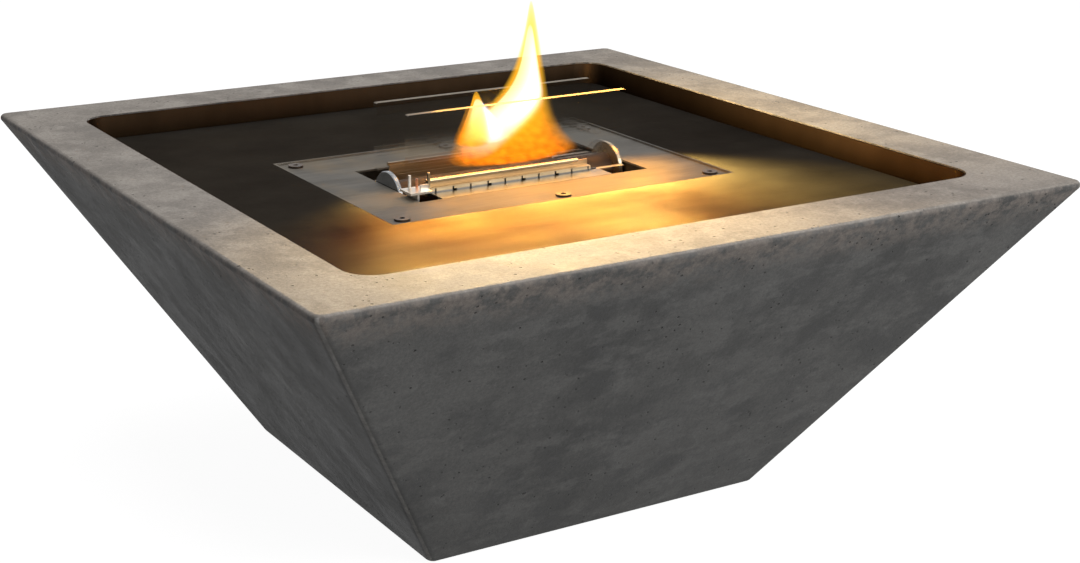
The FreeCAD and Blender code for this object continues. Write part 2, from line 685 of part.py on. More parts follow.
def make_supply_pipe():
    """Bent gas pipe from the back of the valve up into the foot of the injector."""
    slope = math.radians(number(BOWL_SLOPE))
    outward = Vector(0, math.cos(slope), -math.sin(slope))
    face = Vector(0, number(CONTROL_FACE), number("control_height"))
    start = face - outward * number("valve_back")
    lead = start - outward * number("pipe_lead")
    low = Vector(0, 0, number(f"{INJECTOR_BOTTOM} - pipe_drop"))
    end = Vector(0, 0, number(INJECTOR_BOTTOM))
    radius = number("pipe_bend")
    bends = [arc_between(start, lead, low, radius), arc_between(lead, low, end, radius)]
    edges, place = [], start
    for begin, middle, finish in bends:
        edges.append(Part.LineSegment(place, begin).toShape())
        edges.append(Part.Arc(begin, middle, finish).toShape())
        place = finish
    edges.append(Part.LineSegment(place, end).toShape())
    route = Part.Wire(edges)
    tubes = []
    for radius in (number("pipe_radius"), number("pipe_radius - pipe_wall")):
        ring = Part.Wire(Part.Circle(start, outward, radius).toShape())
        tubes.append(route.makePipeShell([ring], True, False))
    pipe = doc.addObject("Part::Feature", "supply_pipe")
    pipe.Label = "supply_pipe"
    pipe.Shape = tubes[0].cut(tubes[1])
    Piece.made.append(pipe)


def make_glass():
    """Front and back panes in their channels, with a slim bar along the top of each channel."""
    pane_top = number(f"{TRAY_TOP} + pane_height")
    for side, way in (("front", -1), ("back", 1)):
        inside, outside = f"{way} * {CHANNEL_INSIDE}", f"{way} * {CHANNEL_OUTSIDE}"
        inner_face, outer_face = f"{inside} - {way} * channel_sheet", f"{way} * {CHANNEL_FACE}"
        base = f"({CHANNEL_FLOOR} - channel_sheet)"
        low = f"{TRAY_TOP} + channel_flange"
        section = [(inner_face, base), (outer_face, base), (outer_face, CHANNEL_TOP), (outside, CHANNEL_TOP)]
        section += [(outside, CHANNEL_FLOOR), (inside, CHANNEL_FLOOR), (inside, low), (inner_face, low)]
        channel = Piece(f"glass_channel_{side}")
        channel.pad("YZ", "bar_left", "channel_right - bar_left", section)
        pane = Piece(f"glass_pane_{side}")
        near, far = f"{way} * (pane_place - pane_thickness / 2)", f"{way} * (pane_place + pane_thickness / 2)"
        foot = f"({TRAY_TOP} - channel_seat)"
        pane.pad("YZ", "-pane_length / 2", "pane_length", box(near, far, foot, f"{TRAY_TOP} + pane_height"))
        pane.round_edges("pane_corner", lambda edge: level_at(edge, pane_top) and not along_x(edge))
        bar = Piece(f"{side}_bar")
        bar_far = f"{outer_face} + {way} * bar_depth"
        bar_section = box(outer_face, bar_far, f"{TRAY_TOP} + bar_rise", BAR_TOP)
        bar.pad("YZ", "bar_left", "bar_right - bar_left", bar_section)
        bar.round_edges("bar_rounding", lambda edge: along_x(edge) and lies_at_y(edge, number(bar_far)))


def make_comb_strip():
    """Folded strip: a ledge level with the tray, an upright face full of cuts, and a fixing leg."""
    strip = Piece("comb_strip")
    back, face = f"(-{CHANNEL_FACE})", f"(-{CHANNEL_FACE} - comb_ledge)"
    lip, under = "(-slot_width / 2 + comb_gap)", f"({TRAY_TOP} - comb_sheet)"
    top, low = f"({TRAY_TOP} + comb_crest)", f"({TRAY_TOP} - comb_leg)"
    section = [(lip, under), (f"{face} + comb_sheet", under), (f"{face} + comb_sheet", f"{top} - comb_sheet")]
    section += [(f"{back} - comb_sheet", f"{top} - comb_sheet"), (f"{back} - comb_sheet", low), (back, low)]
    section += [(back, top), (face, top), (face, TRAY_TOP), (lip, TRAY_TOP)]
    strip.pad("YZ", "comb_left", "comb_right - comb_left", section)
    strip.pocket("XY", TRAY_TOP, "comb_crest", box("channel_right", "comb_right", face, back))
    inner = f"-({face} + comb_sheet)"
    half = "comb_cut_width / 2"
    cut_top = f"{top} - comb_cut_top"
    cut = box(f"comb_first_cut - {half}", f"comb_first_cut + {half}", TRAY_TOP, cut_top)
    plain = strip.pocket("XZ", inner, "comb_sheet", cut)
    strip.repeat(plain, "comb_cut_pitch * (comb_cuts - 1)", "comb_cuts")
    side = f"comb_first_cut + comb_cut_pitch + {half}"
    notch = box(side, f"{side} + comb_notch_width", TRAY_TOP, f"{TRAY_TOP} + comb_notch_height")
    hooked = strip.pocket("XZ", inner, "comb_sheet", notch)
    strip.repeat(hooked, "comb_cut_pitch * (comb_cuts - 4)", "comb_cuts / 2 - 1")


def make_ignition():
    """Bracket at the left end of the slot with the spark electrode, flame sensor and hood."""
    bracket = Piece("ignition_bracket")
    left, back = "(-slot_length / 2 - ignition_overlap)", f"(-{CHANNEL_FACE} - ignition_gap)"
    right, front = f"({left} + ignition_length)", f"({back} - ignition_width)"
    top = f"({TRAY_TOP} + ignition_rise)"
    bracket.pad("XY", f"{top} - ignition_sheet", "ignition_sheet", box(left, right, front, back))
    outer = "-slot_length / 2 + ignition_gap"
    leg = box(outer, f"{outer} + ignition_sheet", front, back)
    bracket.pad("XY", TROUGH_FLOOR, f"{top} - {TROUGH_FLOOR}", leg)
    row = f"{back} - ignition_post_row"
    for label, post in (("spark_electrode", "electrode"), ("flame_sensor", "sensor")):
        place = circle(f"{left} + {post}_place", row, f"{post}_radius")
        Piece(label).pad("XY", top, f"{post}_height", place)
    hood_left, hood_front = f"{left} + hood_left", f"{front} + hood_front"
    hood = box(hood_left, f"{hood_left} + hood_width", hood_front, f"{hood_front} + hood_thickness")
    Piece("pilot_hood").pad("XY", top, "hood_height", hood)
    clip_back = f"(-{CHANNEL_FACE} - bar_depth)"
    clip = box("bar_left", "bar_left + clip_width", f"{clip_back} - ignition_sheet", clip_back)
    clip_top = f"{BAR_TOP} + clip_standout"
    Piece("bar_clip").pad("XY", f"{clip_top} - clip_height", "clip_height", clip)


def make_control_plate():
    """Plate on the sloping back face, and the screws that hold it."""
    plate = Piece("control_plate", y=CONTROL_FACE, z="control_height", tilted=True)
    plate.pad("XY", "0", "plate_thickness", centred("plate_length / 2", "plate_width / 2"))
    plate.round_edges("plate_radius", upright)
    places = corner_places(PLATE_SCREW_X, PLATE_SCREW_Y)
    holes = [circle(x, y, "small_screw_radius + small_screw_gap") for x, y in places]
    holes.append(circle("0", "0", "spindle_radius + spindle_hole_gap"))
    holes.append(circle("-control_pitch", "0", "igniter_barrel_radius + igniter_hole_gap"))
    holes.append(circle("control_pitch", "0", "inlet_shank_radius + inlet_hole_gap"))
    plate.pocket("XY", "0", "plate_thickness", *holes)
    screws = Piece("plate_screws", y=CONTROL_FACE, z="control_height", tilted=True)
    heads = [circle(x, y, "small_screw_head_radius") for x, y in places]
    screws.pad("XY", "plate_thickness", "small_screw_head_height", *heads)
    shanks = [circle(x, y, "small_screw_radius - nut_gap") for x, y in places]
    screws.pad("XY", "plate_thickness - small_screw_length", "small_screw_length", *shanks)
    socket = "plate_thickness + small_screw_head_height - small_socket_depth"
    sockets = [hexagon(x, y, "small_socket_radius") for x, y in places]
    screws.pocket("XY", socket, "small_socket_depth", *sockets)


def make_valve():
    """Gas valve with its plunger, turning spindle, knob and grub screw."""
    spot = {"y": CONTROL_FACE, "z": "control_height", "tilted": True}
    valve = Piece("valve_body", **spot)
    right = "control_pitch + valve_overrun"
    block = box("-valve_left", right, "-valve_width / 2", "valve_width / 2")
    valve.pad("XY", "-valve_back", "valve_back - valve_front", block)
    valve.pad("XY", "-valve_front", "valve_front - valve_boss_gap", circle("0", "0", "valve_boss_radius"))
    bore = circle("0", "0", "spindle_radius + running_gap")
    bottom = "-(spindle_split + plunger_length + push_travel + travel_clearance)"
    valve.pocket("XY", bottom, f"-({bottom})", bore)
    plunger = Piece("valve_plunger", **spot)
    plunger_bottom = "-(spindle_split + plunger_length)"
    plunger.pad("XY", plunger_bottom, "plunger_length", circle("0", "0", "spindle_radius"))
    spindle = Piece("valve_spindle", **spot)
    reach = f"(spindle_split - split_gap + {KNOB_BOTTOM} + knob_height - knob_wall)"
    spindle.pad("XY", "-(spindle_split - split_gap)", reach, circle("0", "0", "spindle_radius"))
    knob = Piece("control_knob", **spot)
    knob.pad("XY", KNOB_BOTTOM, "knob_skirt", circle("0", "0", "knob_radius"))
    knob.pad("XY", KNOB_BOTTOM, "knob_height", circle("0", "0", "knob_grip_radius"))
    top = number(f"{KNOB_BOTTOM} + knob_height")
    knob.round_edges("knob_rounding", lambda edge: level_at(edge, top))
    knob.pocket("XY", KNOB_BOTTOM, "knob_height - knob_wall", circle("0", "0", "spindle_radius"))
    half = "knob_marker_width / 2"
    marker = box(f"-{half}", half, "-knob_radius", "-knob_grip_radius / 2")
    knob.pocket("XY", f"{KNOB_BOTTOM} + knob_height - knob_marker_depth", "knob_marker_depth", marker)
    middle = f"({KNOB_BOTTOM} + knob_height / 2)"
    screw_hole = circle("0", middle, "grub_radius")
    knob.pocket("XZ", "0", "knob_radius", screw_hole)
    grub = Piece("knob_grub_screw", **spot)
    grub.pad("XZ", "spindle_radius", "knob_grip_radius - spindle_radius - grub_inset", screw_hole)


def make_igniter():
    """Push igniter: barrel in the plate, its nut, and the button that travels in it."""
    spot = {"x": "-control_pitch", "y": CONTROL_FACE, "z": "control_height", "tilted": True}
    barrel = Piece("igniter_body", **spot)
    length = "igniter_barrel_length + plate_thickness"
    barrel.pad("XY", "-igniter_barrel_length", length, circle("0", "0", "igniter_barrel_radius"))
    flange = circle("0", "0", "igniter_flange_radius")
    barrel.pad("XY", "plate_thickness", "igniter_flange_height", flange)
    depth = "(button_seat + button_travel + travel_clearance)"
    top = "(plate_thickness + igniter_flange_height)"
    barrel.pocket("XY", f"{top} - {depth}", depth, circle("0", "0", "button_radius + button_gap"))
    nut = Piece("igniter_nut", **spot)
    nut.pad("XY", "-igniter_nut_height", "igniter_nut_height", hexagon("0", "0", "igniter_nut_radius"))
    bore = circle("0", "0", "igniter_barrel_radius + nut_gap")
    nut.pocket("XY", "-igniter_nut_height", "igniter_nut_height", bore)
    button = Piece("igniter_button", **spot)
    height = "button_seat + button_standout"
    button.pad("XY", f"{top} - button_seat", height, circle("0", "0", "button_radius"))
    crown = number(f"{top} + button_standout")
    button.round_edges("button_rounding", lambda edge: level_at(edge, crown))


def make_inlet():
    """Gas inlet fitting: shank into the valve, hexagon, and an outside thread for a hose."""
    inlet = Piece("inlet_fitting", x="control_pitch", y=CONTROL_FACE, z="control_height", tilted=True)
    hex_bottom = "(plate_thickness + inlet_hex_gap)"
    hex_top = f"({hex_bottom} + inlet_hex_height)"
    inlet.pad("XY", "-valve_front", f"valve_front + {hex_bottom}", circle("0", "0", "inlet_shank_radius"))
    inlet.pad("XY", hex_bottom, "inlet_hex_height", hexagon("0", "0", "inlet_hex_radius"))
    inlet.pad("XY", hex_top, "inlet_thread_length", circle("0", "0", "inlet_thread_radius"))
    whole = f"valve_front + {hex_top} + inlet_thread_length"
    inlet.pocket("XY", "-valve_front", whole, circle("0", "0", "inlet_bore"))


make_bowl()
make_base()
make_liner_and_panel()
make_tray()
make_trough()
make_burner()
make_mixer_and_injector()
make_supply_pipe()
make_glass()
make_comb_strip()
make_ignition()
make_control_plate()
make_valve()
make_igniter()
make_inlet()
doc.recompute()

for item in doc.Objects:
    if "Invalid" in item.State or "Error" in item.State:
        raise RuntimeError(f"{item.Label} did not build: {item.State}")
os.makedirs("parts", exist_ok=True)
for piece in Piece.made:
    if piece.Shape.isNull() or not piece.Shape.isValid():
        raise RuntimeError(f"{piece.Label} has no valid shape")
    piece.Shape.exportStep(f"parts/{piece.Label}.step")
    print(piece.Label, len(piece.Shape.Solids), round(piece.Shape.Volume, 1))
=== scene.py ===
import json
import math

import bmesh
import bpy
from mathutils import Matrix, Vector


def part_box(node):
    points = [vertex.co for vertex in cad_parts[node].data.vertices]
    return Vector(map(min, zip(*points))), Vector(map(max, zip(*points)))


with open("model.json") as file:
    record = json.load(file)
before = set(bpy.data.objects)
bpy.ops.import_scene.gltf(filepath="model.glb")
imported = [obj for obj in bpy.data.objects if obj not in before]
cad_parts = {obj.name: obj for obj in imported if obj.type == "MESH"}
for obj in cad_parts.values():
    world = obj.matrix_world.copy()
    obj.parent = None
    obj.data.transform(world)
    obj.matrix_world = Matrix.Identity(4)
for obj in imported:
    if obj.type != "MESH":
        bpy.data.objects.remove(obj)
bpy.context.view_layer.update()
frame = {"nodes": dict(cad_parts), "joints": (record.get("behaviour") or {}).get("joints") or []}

nodes = frame["nodes"]

# Camera. It stands where the photograph was taken: a little above the rim, off the left end of
# the burner, looking at the corner between the front and left faces. The photograph is cropped
# off its lens axis, and the shift repeats that.
CAMERA_PLACE = Vector((-0.704318, -1.166859, 0.579288))
CAMERA_RIGHT = Vector((0.862897, -0.505375, 0.002207))
CAMERA_LOOK = Vector((0.487075, 0.830470, -0.270328))
LENS = 61.4336
SENSOR = 36.0
SHIFT = (0.05657, -0.05842)


def add_camera():
    """The photograph's camera, from its place, its level direction and its line of sight."""
    data = bpy.data.cameras.new("camera")
    camera = bpy.data.objects.new("camera", data)
    bpy.context.collection.objects.link(camera)
    up = CAMERA_RIGHT.cross(CAMERA_LOOK).normalized()
    turn = Matrix((CAMERA_RIGHT, up, -CAMERA_LOOK)).transposed().to_4x4()
    turn.translation = CAMERA_PLACE
    camera.matrix_world = turn
    data.sensor_width = SENSOR
    data.lens = LENS
    data.shift_x, data.shift_y = SHIFT
    bpy.context.scene.camera = camera


add_camera()
bpy.context.scene.view_settings.view_transform = "Standard"

# Studio. A pale floor and world, seen white by the camera, in gloss and through glass, with one
# broad soft lamp overhead and one in front of the bowl, as in a plain product picture.
FLOOR_SIZE = 12.0
FLOOR_COLOUR = (0.20, 0.20, 0.20, 1.0)
FLOOR_LIFT = 0.95
WORLD_SEEN = (1.0, 1.0, 1.0, 1.0)
WORLD_COLOUR = (0.16, 0.16, 0.164, 1.0)
OVERHEAD = {"place": (0.0, 0.5, 2.4), "aim": (0.0, 0.0, 0.2), "size": 1.8, "energy": 25.5}
FRONTAL = {"place": (0.9, -2.1, 1.1), "aim": (0.0, 0.0, 0.15), "size": 1.5, "energy": 44.0}
DAYLIGHT = (1.0, 0.985, 0.96)


def add_lamp(name, kind, place, aim, color=DAYLIGHT, lights=(), **settings):
    """A lamp that faces a point and lights every node, or only the named ones; the camera and glass don't see
    it.
    """
    data = bpy.data.lights.new(name, kind)
    data.color = color
    for setting, value in settings.items():
        setattr(data, setting, value)
    lamp = bpy.data.objects.new(name, data)
    lamp.location = place
    lamp.rotation_euler = (Vector(aim) - Vector(place)).to_track_quat("-Z", "Y").to_euler()
    lamp.visible_camera = False
    lamp.visible_transmission = False
    if lights:
        lit = bpy.data.collections.new(name)
        for node in lights:
            lit.objects.link(nodes[node])
        lamp.light_linking.receiver_collection = lit
    bpy.context.collection.objects.link(lamp)


def seen_share(tree):
    """1 for rays that show the background, directly, in gloss or through glass, and 0 for the rest."""
    path = tree.nodes.new("ShaderNodeLightPath")
    share = path.outputs["Is Camera Ray"]
    for kind in ("Is Glossy Ray", "Is Transmission Ray"):
        either = tree.nodes.new("ShaderNodeMath")
        either.operation = "MAXIMUM"
        tree.links.new(share, either.inputs[0])
        tree.links.new(path.outputs[kind], either.inputs[1])
        share = either.outputs[0]
    return share


def add_world():
    """A white surround that lights the object at a lower level."""
    world = bpy.data.worlds.new("studio")
    bpy.context.scene.world = world
    world.use_nodes = True
    tree = world.node_tree
    mix = tree.nodes.new("ShaderNodeMixShader")
    tree.links.new(seen_share(tree), mix.inputs[0])
    for place, colour in ((1, WORLD_COLOUR), (2, WORLD_SEEN)):
        sky = tree.nodes.new("ShaderNodeBackground")
        sky.inputs["Color"].default_value = colour
        tree.links.new(sky.outputs[0], mix.inputs[place])
    tree.links.new(mix.outputs[0], tree.nodes["World Output"].inputs["Surface"])


def add_floor():
    """A pale floor that shows as white and keeps a faint shadow under the object."""
    half = FLOOR_SIZE / 2
    mesh = bpy.data.meshes.new("floor")
    corners = [(-half, -half, 0), (half, -half, 0), (half, half, 0), (-half, half, 0)]
    mesh.from_pydata(corners, [], [(0, 1, 2, 3)])
    floor = bpy.data.objects.new("floor", mesh)
    bpy.context.collection.objects.link(floor)
    paint = bpy.data.materials.new("floor_paint")
    paint.use_nodes = True
    tree = paint.node_tree
    matt = tree.nodes.new("ShaderNodeBsdfDiffuse")
    matt.inputs["Color"].default_value = FLOOR_COLOUR
    lift = tree.nodes.new("ShaderNodeMath")
    lift.operation = "MULTIPLY"
    tree.links.new(seen_share(tree), lift.inputs[0])
    lift.inputs[1].default_value = FLOOR_LIFT
    glow = tree.nodes.new("ShaderNodeEmission")
    tree.links.new(lift.outputs[0], glow.inputs["Strength"])
    both = tree.nodes.new("ShaderNodeAddShader")
    tree.links.new(matt.outputs[0], both.inputs[0])
    tree.links.new(glow.outputs[0], both.inputs[1])
    tree.links.new(both.outputs[0], tree.nodes["Material Output"].inputs["Surface"])
    mesh.materials.append(paint)


add_world()
add_floor()
add_lamp("overhead", "AREA", **OVERHEAD)
add_lamp("frontal", "AREA", **FRONTAL)

# Bowl. One hollow casting of fibre-reinforced concrete, with thin walls and a thick lip. The
# faces keep the dark mottled skin of the mould; the faces that look up, the lip among them, are
# painted paler as light from above, the upright arrises are worn and carry a painted highlight,
# and the blown pits are painted dark as shade in them.
STONE_FACE = ((0.045, 0.0455, 0.0455), (0.122, 0.122, 0.120))
STONE_LIP_LIT_FROM_ABOVE = ((0.190, 0.172, 0.155), (0.335, 0.308, 0.280))
STONE_WEAR_AND_HIGHLIGHT = (0.38, 0.37, 0.355)
STONE_BAND = (0.200, 0.178, 0.162)
STONE_PIT_SHADE = (0.022, 0.021, 0.020)
STONE_ROUGHNESS = (0.72, 0.92)
WEAR_AND_HIGHLIGHT_WIDTH = 0.0028
BAND_HEIGHT = 0.034
PIT_CELLS = 150.0
PIT_SIZES = (0.08, 0.18)
PIT_DEPTH = 0.0010
CLOUD_DEPTH = 0.0005
FLECK_DEPTH = 0.0004
GRAIN_DEPTH = 0.00014


class Finish:
    """A material being made, with short ways to add nodes in the piece's own coordinates."""

    def __init__(self, name, **plain):
        self.material = bpy.data.materials.new(name)
        self.material.use_nodes = True
        self.tree = self.material.node_tree
        self.shader = self.tree.nodes["Principled BSDF"]
        self.object = self.tree.nodes.new("ShaderNodeTexCoord").outputs["Object"]
        for socket, value in plain.items():
            self.shader.inputs[socket.replace("_", " ")].default_value = value

    def join(self, source, target):
        """Feed a socket from an output, a number or a colour."""
        if isinstance(source, bpy.types.NodeSocket):
            self.tree.links.new(source, target)
        elif isinstance(source, tuple):
            target.default_value = (*source[:3], 1.0) if len(target.default_value) == 4 else source
        else:
            target.default_value = source

    def stretched(self, stretch):
        """The piece's coordinates, scaled along each axis."""
        mapping = self.tree.nodes.new("ShaderNodeMapping")
        mapping.inputs["Scale"].default_value = stretch
        self.tree.links.new(self.object, mapping.inputs["Vector"])
        return mapping.outputs["Vector"]

    def noise(self, scale, detail=4.0, rough=0.6, stretch=None):
        """Cloudy noise from 0 to 1; scale is in features per metre."""
        node = self.tree.nodes.new("ShaderNodeTexNoise")
        for socket, value in (("Scale", scale), ("Detail", detail), ("Roughness", rough)):
            node.inputs[socket].default_value = value
        self.tree.links.new(self.stretched(stretch) if stretch else self.object, node.inputs["Vector"])
        return node.outputs["Fac"]

    def cells(self, scale, feature="F1", output="Distance"):
        """A cell pattern's distance or colour; scale is in cells per metre."""
        node = self.tree.nodes.new("ShaderNodeTexVoronoi")
        node.feature = feature
        node.inputs["Scale"].default_value = scale
        self.tree.links.new(self.object, node.inputs["Vector"])
        return node.outputs[output]

    def waves(self, scale, axis):
        """Even bands across an axis of the piece; scale is in bands per metre."""
        node = self.tree.nodes.new("ShaderNodeTexWave")
        node.bands_direction = axis
        node.inputs["Scale"].default_value = scale * math.pi / 10
        self.tree.links.new(self.object, node.inputs["Vector"])
        return node.outputs["Fac"]

    def math(self, operation, first, second=0.0):
        """One step of arithmetic on numbers or outputs."""
        node = self.tree.nodes.new("ShaderNodeMath")
        node.operation = operation
        self.join(first, node.inputs[0])
        self.join(second, node.inputs[1])
        return node.outputs[0]

    def spread(self, value, low, high, to_low=0.0, to_high=1.0):
        """A value's range mapped smoothly onto another, and held at its ends."""
        node = self.tree.nodes.new("ShaderNodeMapRange")
        node.interpolation_type = "SMOOTHSTEP"
        for place, source in enumerate((value, low, high, to_low, to_high)):
            self.join(source, node.inputs[place])
        return node.outputs["Result"]

    def blend(self, share, first, second, kind="MIX"):
        """Two colours or numbers mixed by a share."""
        node = self.tree.nodes.new("ShaderNodeMix")
        node.data_type = "RGBA"
        node.blend_type = kind
        self.join(share, node.inputs["Factor"])
        self.join(first, node.inputs[6])
        self.join(second, node.inputs[7])
        return node.outputs[2]

    def axes(self, source=None):
        """The three parts of a vector, by default of the piece's coordinates."""
        node = self.tree.nodes.new("ShaderNodeSeparateXYZ")
        self.tree.links.new(source or self.object, node.inputs[0])
        return node.outputs

    def facing(self):
        """The three parts of the surface's own outward direction."""
        return self.axes(self.tree.nodes.new("ShaderNodeNewGeometry").outputs["Normal"])

    def colour(self, source):
        """Set the base colour."""
        self.join(source, self.shader.inputs["Base Color"])

    def rough(self, source):
        """Set the roughness."""
        self.join(source, self.shader.inputs["Roughness"])

    def relief(self, *layers):
        """Stack bumps, each a height from 0 to 1 and its real depth in metres."""
        normal = None
        for height, depth in layers:
            node = self.tree.nodes.new("ShaderNodeBump")
            node.inputs["Distance"].default_value = depth
            self.tree.links.new(height, node.inputs["Height"])
            if normal:
                self.tree.links.new(normal, node.inputs["Normal"])
            normal = node.outputs["Normal"]
        self.tree.links.new(normal, self.shader.inputs["Normal"])

    def dress(self, *names):
        """Give the material to these CAD nodes."""
        for name in names:
            nodes[name].data.materials.clear()
            nodes[name].data.materials.append(self.material)


def mottling(stone, cloud):
    """The share of pale skin on the concrete, in blotches, drips, patches and scuffs."""
    blotch = stone.noise(6.5, detail=9.0, rough=0.62)
    drips = stone.noise(18.0, detail=6.0, rough=0.6, stretch=(1.0, 1.0, 0.22))
    share = stone.spread(stone.blend(0.42, stone.blend(0.45, blotch, drips), cloud), 0.41, 0.60)
    patch = stone.spread(stone.cells(11.0, "SMOOTH_F1", "Color"), 0.0, 1.0)
    scuff = stone.noise(48.0, detail=7.0, rough=0.66, stretch=(0.7, 0.7, 1.3))
    return stone.math("ADD", stone.blend(0.15, share, patch), stone.spread(scuff, 0.46, 0.68, 0.0, 0.66))


def off_the_lip(stone, share, speckle, up):
    """A share broken up by a speckle and kept off the faces that look up."""
    return stone.math("MULTIPLY", stone.math("MULTIPLY", share, speckle), stone.math("SUBTRACT", 1.0, up))


def finish_stone():
    """Mottled cast concrete: dark faces, a lip painted paler as light from above, worn arrises with a painted
    highlight, and blown pits painted dark as shade.
    """
    stone = Finish("cast_stone", Specular_IOR_Level=0.35)
    cloud = stone.noise(26.0, detail=9.0, rough=0.68)
    flecks = stone.noise(95.0, detail=7.0, rough=0.7)
    grain = stone.noise(420.0, detail=5.0, rough=0.75)
    share = mottling(stone, cloud)
    up = stone.spread(stone.facing()[2], 0.35, 0.85)
    # Painted light: faces that look up, the lip among them, take the paler colour, as lit from above.
    body = stone.blend(up, stone.blend(share, *STONE_FACE), stone.blend(share, *STONE_LIP_LIT_FROM_ABOVE))
    x, y, z = stone.axes()
    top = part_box("bowl")[1][2]
    band = stone.spread(z, top - BAND_HEIGHT, top - 0.2 * BAND_HEIGHT)
    band = off_the_lip(stone, band, stone.spread(flecks, 0.38, 0.62), up)
    body = stone.blend(band, body, STONE_BAND)
    # Painted highlight: the upright corner arrises are lightened, partly as wear and partly as a painted
    # highlight.
    apart = stone.math("SUBTRACT", stone.math("ABSOLUTE", x), stone.math("ABSOLUTE", y))
    corner = stone.spread(stone.math("ABSOLUTE", apart), 0.3 * WEAR_AND_HIGHLIGHT_WIDTH, WEAR_AND_HIGHLIGHT_WIDTH, 1.0, 0.0)
    corner = off_the_lip(stone, corner, stone.spread(flecks, 0.35, 0.65, 0.45, 1.0), up)
    body = stone.blend(corner, body, STONE_WEAR_AND_HIGHLIGHT)
    body = stone.blend(0.30, body, stone.spread(grain, 0.30, 0.70, 0.2, 0.8), "OVERLAY")
    # Painted shade: the blown pits are darkened almost to black, as shade in the holes.
    few = stone.spread(stone.noise(60.0), 0.50, 0.58)
    pit = stone.math("MULTIPLY", stone.spread(stone.cells(PIT_CELLS), *PIT_SIZES, 1.0, 0.0), few)
    stone.colour(stone.blend(stone.math("MULTIPLY", pit, 0.7), body, STONE_PIT_SHADE))
    stone.rough(stone.spread(cloud, 0.3, 0.7, *STONE_ROUGHNESS))
    flat = stone.math("SUBTRACT", 1.0, pit)
    fine = (flecks, FLECK_DEPTH), (grain, GRAIN_DEPTH)
    stone.relief((cloud, CLOUD_DEPTH), *fine, (flat, PIT_DEPTH))
    stone.dress("bowl")


finish_stone()

# Base cover. A vented plate of zinc-coated sheet closes the access opening in the bowl's foot;
# it lies in a rebate, and four screws hold it.
ZINC = ((0.36, 0.37, 0.38), (0.62, 0.63, 0.64))
ZINC_ROUGHNESS = (0.34, 0.58)
ZINC_CRYSTALS = 140.0


def zinc_finish():
    """Zinc-coated sheet with its patchwork of dull crystals."""
    finish = Finish("galvanised_sheet", Metallic=0.9)
    crystal = finish.axes(finish.cells(ZINC_CRYSTALS, output="Color"))[0]
    bloom = finish.noise(30.0, detail=5.0)
    finish.colour(finish.blend(finish.math("MULTIPLY", crystal, bloom), *ZINC))
    finish.rough(finish.spread(crystal, 0.0, 1.0, *ZINC_ROUGHNESS))
    finish.relief((finish.noise(900.0), 0.00005), (bloom, 0.0003))
    return finish


zinc = zinc_finish()
zinc.dress("base_cover")

# Small screws and nuts. Plain stainless steel, left bright: four screws hold the base cover,
# four the control plate and one the knob, and six nuts hold the tray's screws from below.
PLAIN_STEEL = ((0.50, 0.50, 0.49), (0.70, 0.69, 0.67))
STRAW = (0.30, 0.22, 0.12)
LENGTHWISE = (0.03, 1.0, 1.0)
ALL_WAYS = (1.0, 1.0, 1.0)


def brushed(name, dark, light, roughness, grain=900.0, along=LENGTHWISE, straw=0.0, edge=1.0):
    """Brushed metal: fine scratches drawn out along one axis, smears and a faint heat tint."""
    steel = Finish(name, Metallic=1.0, Specular_Tint=(edge, edge, edge, 1.0))
    scratch = steel.noise(grain, detail=3.0, rough=0.7, stretch=along)
    smear = steel.noise(24.0, detail=5.0, stretch=(0.6, 1.0, 1.0))
    share = steel.math("ADD", steel.math("MULTIPLY", scratch, 0.5), steel.math("MULTIPLY", smear, 0.5))
    base = steel.blend(steel.spread(share, 0.36, 0.64), dark, light)
    warm = steel.spread(steel.noise(14.0, detail=3.0), 0.4, 0.7, 0.0, straw)
    steel.colour(steel.blend(warm, base, STRAW))
    steel.rough(steel.spread(smear, 0.3, 0.7, *roughness))
    steel.relief((scratch, 0.00006), (smear, 0.0002))
    return steel


screw_steel = brushed("screw_steel", *PLAIN_STEEL, roughness=(0.24, 0.36), along=ALL_WAYS)
screw_steel.dress("cover_screws", "plate_screws", "knob_grub_screw", "tray_nuts")

# Feet. Four round pads of black rubber, pressed into shallow seats under the bowl. They are
# moulded, and a little dust clings to them.
RUBBER = ((0.012, 0.012, 0.012), (0.030, 0.029, 0.028))


def finish_rubber():
    """Moulded rubber, dull and slightly dusty."""
    rubber = Finish("foot_rubber", Specular_IOR_Level=0.3)
    dust = rubber.noise(220.0, detail=6.0)
    rubber.colour(rubber.blend(rubber.spread(dust, 0.4, 0.75), *RUBBER))
    rubber.rough(rubber.spread(dust, 0.3, 0.7, 0.7, 0.9))
    rubber.relief((dust, 0.0002))
    rubber.dress("foot_1", "foot_2", "foot_3", "foot_4")


finish_rubber()

# Liner. An upright frame of thin sheet steel round the opening, with a flange turned in at its
# foot. It is powder-coated dark brown; its colour is painted darker low down as shade in the
# recess, and browner along its top as the flame's light.
LINER_SHADE_TO_FLAME_LIGHT = ((0.010, 0.006, 0.003), (0.055, 0.033, 0.018))
LINER_GLANCE = (0.35, 0.33, 0.31, 1.0)


def finish_liner():
    """The liner's coat, with painted shade low down and painted flame light along its top."""
    liner = Finish("liner_coat", Metallic=1.0, Specular_Tint=LINER_GLANCE)
    low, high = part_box("liner_frame")
    # Painted shade and light: darker low down as shade in the recess, browner along the top as the flame's
    # light.
    rise = liner.spread(liner.axes()[2], low[2], high[2], 0.15, 0.85)
    haze = liner.noise(14.0, detail=5.0, stretch=(1.0, 1.0, 0.3))
    share = liner.math("MULTIPLY", rise, liner.spread(haze, 0.3, 0.7, 0.6, 1.2))
    liner.colour(liner.blend(share, *LINER_SHADE_TO_FLAME_LIGHT))
    grain = liner.noise(1300.0, detail=2.0)
    liner.rough(liner.spread(grain, 0.3, 0.7, 0.36, 0.48))
    liner.relief((grain, 0.0001), (haze, 0.0003))
    liner.dress("liner_frame")


finish_liner()

